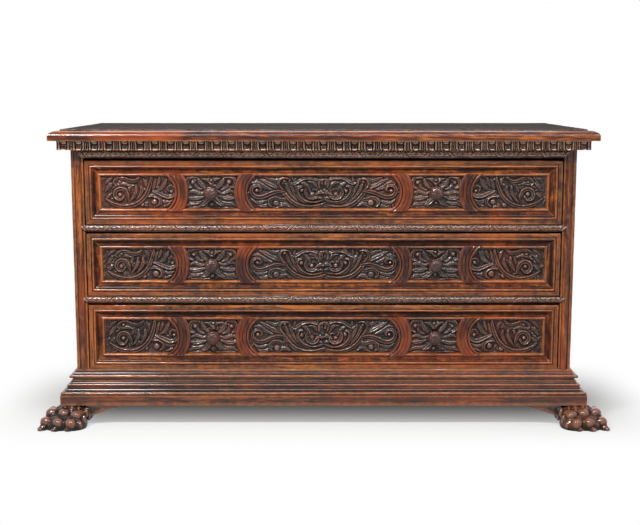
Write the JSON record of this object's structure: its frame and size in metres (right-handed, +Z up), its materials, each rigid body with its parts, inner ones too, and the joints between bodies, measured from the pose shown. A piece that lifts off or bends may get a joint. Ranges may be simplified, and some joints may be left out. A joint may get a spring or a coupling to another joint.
{
  "type": "chest of drawers",
  "caption": "Carved walnut chest of long drawers with a moulded top, egg frieze, arched and scroll-carved drawer fronts, round knobs, locks, moulded plinth and lion-paw feet.",
  "frame": {"origin": "on the floor, under the middle of the chest's whole outline, paw feet included", "axes": "+Z up, +X along the width to the right as seen from the front, +Y to the back, so the drawers open towards -Y"},
  "size_m": [1.696, 0.735, 0.885],
  "materials": {
    "walnut_top": "old walnut board, oiled and waxed, with a soft sheen, dents and fine scratches",
    "walnut": "red-brown walnut mouldings and panels, wax polish, worn orange on the edges and dark in the grooves",
    "walnut_carved": "carved walnut, dark in the ground, worn brown on the high places, wax polish",
    "poplar": "planed poplar left bare inside and at the back, aged to a dry yellow-brown",
    "iron": "forged iron with a dark brown oxide skin, filed bright on the bolt's edges"
  },
  "bodies": {
    "carcass": {"top_board": "walnut_top", "frieze_front": "walnut_carved", "frieze_left": "walnut_carved", "frieze_right": "walnut_carved", "side_left": "walnut", "side_right": "walnut", "stile_left": "walnut", "stile_right": "walnut", "rail_top": "walnut_carved", "rail_upper": "walnut_carved", "rail_lower": "walnut_carved", "rail_bottom": "poplar", "back_boards": "poplar", "bottom_board": "poplar", "runners_left": "poplar", "runners_right": "poplar", "base_moulding_front": "walnut", "base_moulding_left": "walnut", "base_moulding_right": "walnut", "plinth_front": "walnut", "plinth_left": "walnut", "plinth_right": "walnut", "foot_front_left": "walnut_carved", "foot_front_right": "walnut_carved", "foot_rear_left": "walnut", "foot_rear_right": "walnut", "nails": "iron"},
    "upper_drawer": {"upper_drawer_front": "walnut_carved", "upper_drawer_frame": "walnut", "upper_drawer_arches": "walnut", "upper_drawer_side_left": "poplar", "upper_drawer_side_right": "poplar", "upper_drawer_back": "poplar", "upper_drawer_bottom": "poplar", "upper_drawer_knob_left": "walnut_carved", "upper_drawer_knob_right": "walnut_carved", "upper_lock_case": "iron"},
    "upper_bolt": {"upper_lock_bolt": "iron"},
    "middle_drawer": {"middle_drawer_front": "walnut_carved", "middle_drawer_frame": "walnut", "middle_drawer_arches": "walnut", "middle_drawer_side_left": "poplar", "middle_drawer_side_right": "poplar", "middle_drawer_back": "poplar", "middle_drawer_bottom": "poplar", "middle_drawer_knob_left": "walnut_carved", "middle_drawer_knob_right": "walnut_carved", "middle_lock_case": "iron"},
    "middle_bolt": {"middle_lock_bolt": "iron"},
    "lower_drawer": {"lower_drawer_front": "walnut_carved", "lower_drawer_frame": "walnut", "lower_drawer_arches": "walnut", "lower_drawer_side_left": "poplar", "lower_drawer_side_right": "poplar", "lower_drawer_back": "poplar", "lower_drawer_bottom": "poplar", "lower_drawer_knob_left": "walnut_carved", "lower_drawer_knob_right": "walnut_carved", "lower_lock_case": "iron"},
    "lower_bolt": {"lower_lock_bolt": "iron"}
  },
  "joints": [
    {"name": "upper_drawer_slide", "type": "slide", "parent": "carcass", "child": "upper_drawer", "axis": [0, -1, 0], "range_m": [0, 0.42]},
    {"name": "upper_bolt_slide", "type": "slide", "parent": "upper_drawer", "child": "upper_bolt", "axis": [0, 0, 1], "range_m": [0, 0.015]},
    {"name": "middle_drawer_slide", "type": "slide", "parent": "carcass", "child": "middle_drawer", "axis": [0, -1, 0], "range_m": [0, 0.42]},
    {"name": "middle_bolt_slide", "type": "slide", "parent": "middle_drawer", "child": "middle_bolt", "axis": [0, 0, 1], "range_m": [0, 0.015]},
    {"name": "lower_drawer_slide", "type": "slide", "parent": "carcass", "child": "lower_drawer", "axis": [0, -1, 0], "range_m": [0, 0.42]},
    {"name": "lower_bolt_slide", "type": "slide", "parent": "lower_drawer", "child": "lower_bolt", "axis": [0, 0, 1], "range_m": [0, 0.015]}
  ]
}
